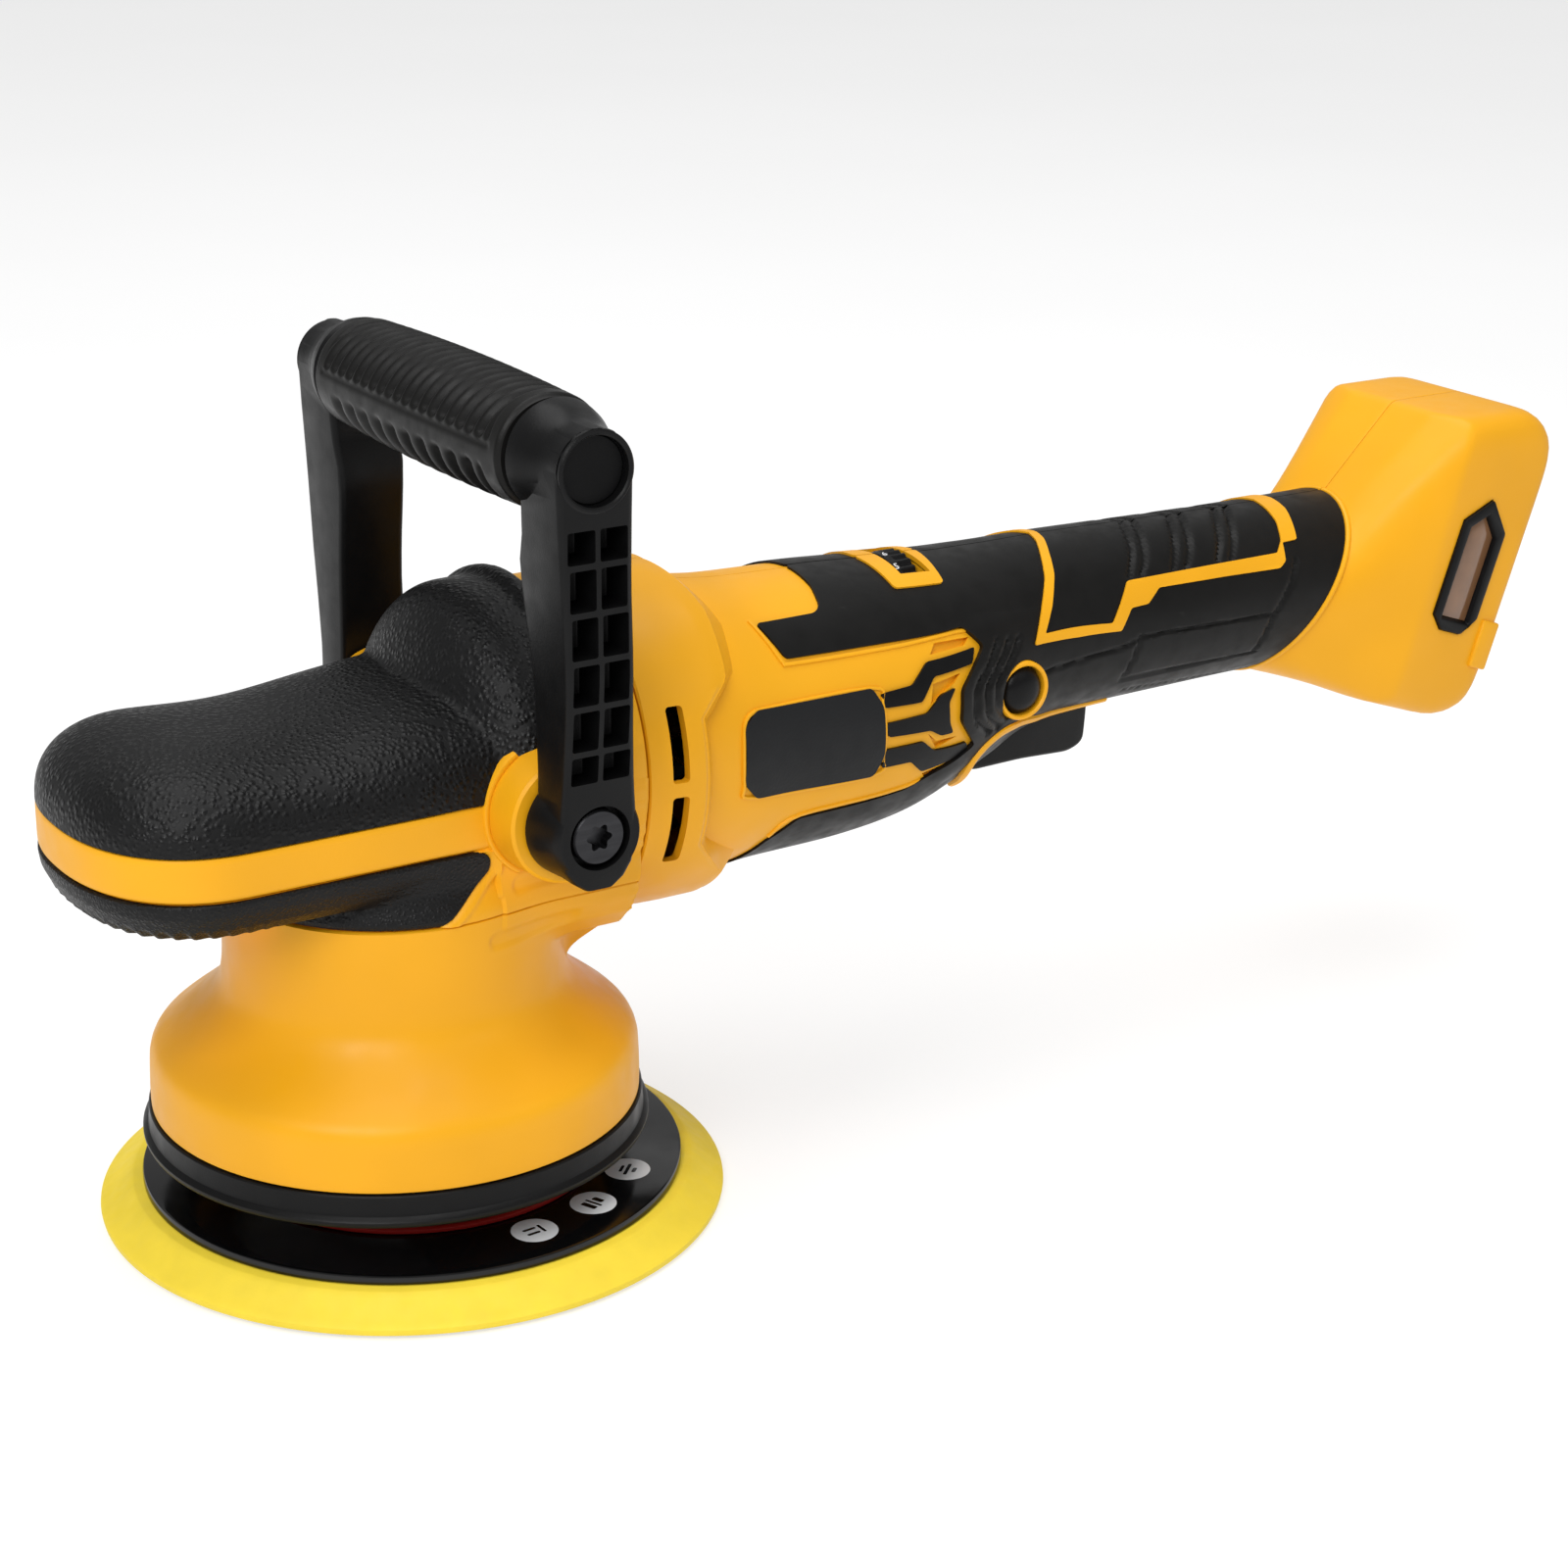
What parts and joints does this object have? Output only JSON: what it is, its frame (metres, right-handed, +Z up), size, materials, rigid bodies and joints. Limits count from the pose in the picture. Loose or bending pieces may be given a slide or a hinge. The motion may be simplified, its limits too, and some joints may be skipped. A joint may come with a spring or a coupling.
{
  "type": "rotary polisher",
  "caption": "Cordless eccentric polisher with a hook pad, bell shroud, palm grip, tilting D-handle, trigger grip and battery foot.",
  "frame": {"origin": "the point where the spindle's axis meets the pad's face", "axes": "+Z up along the spindle, +X from the spindle towards the battery foot, -Y the side with the lock button"},
  "size_m": [0.4243, 0.15, 0.2047],
  "materials": {
    "yellow_plastic": "satin moulded, fine spark-eroded grain",
    "black_plastic": "satin moulded",
    "soft_rubber": "soft overmould, pebbled",
    "gloss_black": "glossy printed disc",
    "hook_fabric": "short hook pile",
    "lemon_foam": "fine skinned polyurethane foam",
    "red_plastic": "moulded",
    "steel": "ground",
    "dark_steel": "black oxide",
    "cast_aluminium": "cast",
    "copper_winding": "enamelled copper wire",
    "brass_contact": "plain",
    "circuit_board": "solder mask",
    "smoked_lens": "smoked brown"
  },
  "bodies": {
    "casing": {"gear_housing": "yellow_plastic", "bell_shroud": "yellow_plastic", "body_shell_near": "yellow_plastic", "body_shell_far": "yellow_plastic", "shroud_ring": "black_plastic", "badge_near": "black_plastic", "badge_far": "black_plastic", "trigger_switch": "black_plastic", "speed_control": "black_plastic", "battery_dock": "black_plastic", "terminal_block": "black_plastic", "led_bezel": "black_plastic", "rear_bearing_holder": "black_plastic", "palm_grip": "soft_rubber", "nose_bumper": "soft_rubber", "handle_sleeve": "soft_rubber", "motor_top_cover": "soft_rubber", "motor_belly_near": "soft_rubber", "motor_belly_far": "soft_rubber", "motor_bearing_front": "steel", "motor_bearing_rear": "steel", "spindle_bearing_lower": "dark_steel", "spindle_bearing_upper": "dark_steel", "stator_core": "dark_steel", "handle_bolt_near": "dark_steel", "handle_bolt_far": "dark_steel", "shell_screw_1": "dark_steel", "shell_screw_2": "dark_steel", "shell_screw_3": "dark_steel", "shell_screw_4": "dark_steel", "bearing_plate": "cast_aluminium", "winding_front": "copper_winding", "winding_rear": "copper_winding", "terminal_positive": "brass_contact", "terminal_negative": "brass_contact", "controller_board": "circuit_board", "led_board": "circuit_board", "led_lens": "smoked_lens"},
    "pad": {"pad_spindle": "steel", "pad_stud": "steel", "pad_hub": "red_plastic", "pad_plate": "gloss_black", "pad_foam": "lemon_foam", "hook_face": "hook_fabric"},
    "eccentric": {"spindle": "steel", "ring_gear": "steel", "eccentric_weight": "cast_aluminium", "pad_bearing": "dark_steel"},
    "motor_rotor": {"motor_shaft": "steel", "rotor_core": "dark_steel", "cooling_fan": "black_plastic", "pinion": "steel"},
    "trigger_lever": {"trigger": "black_plastic"},
    "lock_knob": {"lock_button": "black_plastic"},
    "speed_wheel": {"speed_dial": "black_plastic"},
    "d_handle": {"handle_frame": "black_plastic", "handle_grip": "soft_rubber", "handle_cap_near": "black_plastic", "handle_cap_far": "black_plastic"}
  },
  "joints": [
    {"name": "spindle_spin", "type": "hinge", "parent": "casing", "child": "eccentric", "pos_m": [0, 0, 0.09], "axis": [0, 0, 1], "continuous": true},
    {"name": "rotor_spin", "type": "hinge", "parent": "casing", "child": "motor_rotor", "pos_m": [0.1, 0, 0.106], "axis": [1, 0, 0], "continuous": true},
    {"name": "pad_spin", "type": "hinge", "parent": "eccentric", "child": "pad", "pos_m": [0.004, 0, 0.02], "axis": [0, 0, 1], "continuous": true},
    {"name": "trigger_pull", "type": "hinge", "parent": "casing", "child": "trigger_lever", "pos_m": [0.16, 0, 0.095], "axis": [0, -1, 0], "range_deg": [0, 5], "stiffness_Nm_per_rad": 0.6, "springref_deg": -11.46},
    {"name": "lock_push", "type": "slide", "parent": "casing", "child": "lock_knob", "axis": [0, 1, 0], "range_m": [0, 0.003], "stiffness_N_per_m": 400, "springref_m": -0.002},
    {"name": "speed_turn", "type": "hinge", "parent": "casing", "child": "speed_wheel", "pos_m": [0.14, 0, 0.128], "axis": [1, 0, 0], "range_deg": [-200, 40]},
    {"name": "handle_tilt", "type": "hinge", "parent": "casing", "child": "d_handle", "pos_m": [0.0215, 0, 0.107], "axis": [0, 1, 0], "range_deg": [-45, 30]}
  ],
  "couplings": [
    {"joint": "rotor_spin", "follows": "spindle_spin", "ratio": 3}
  ]
}
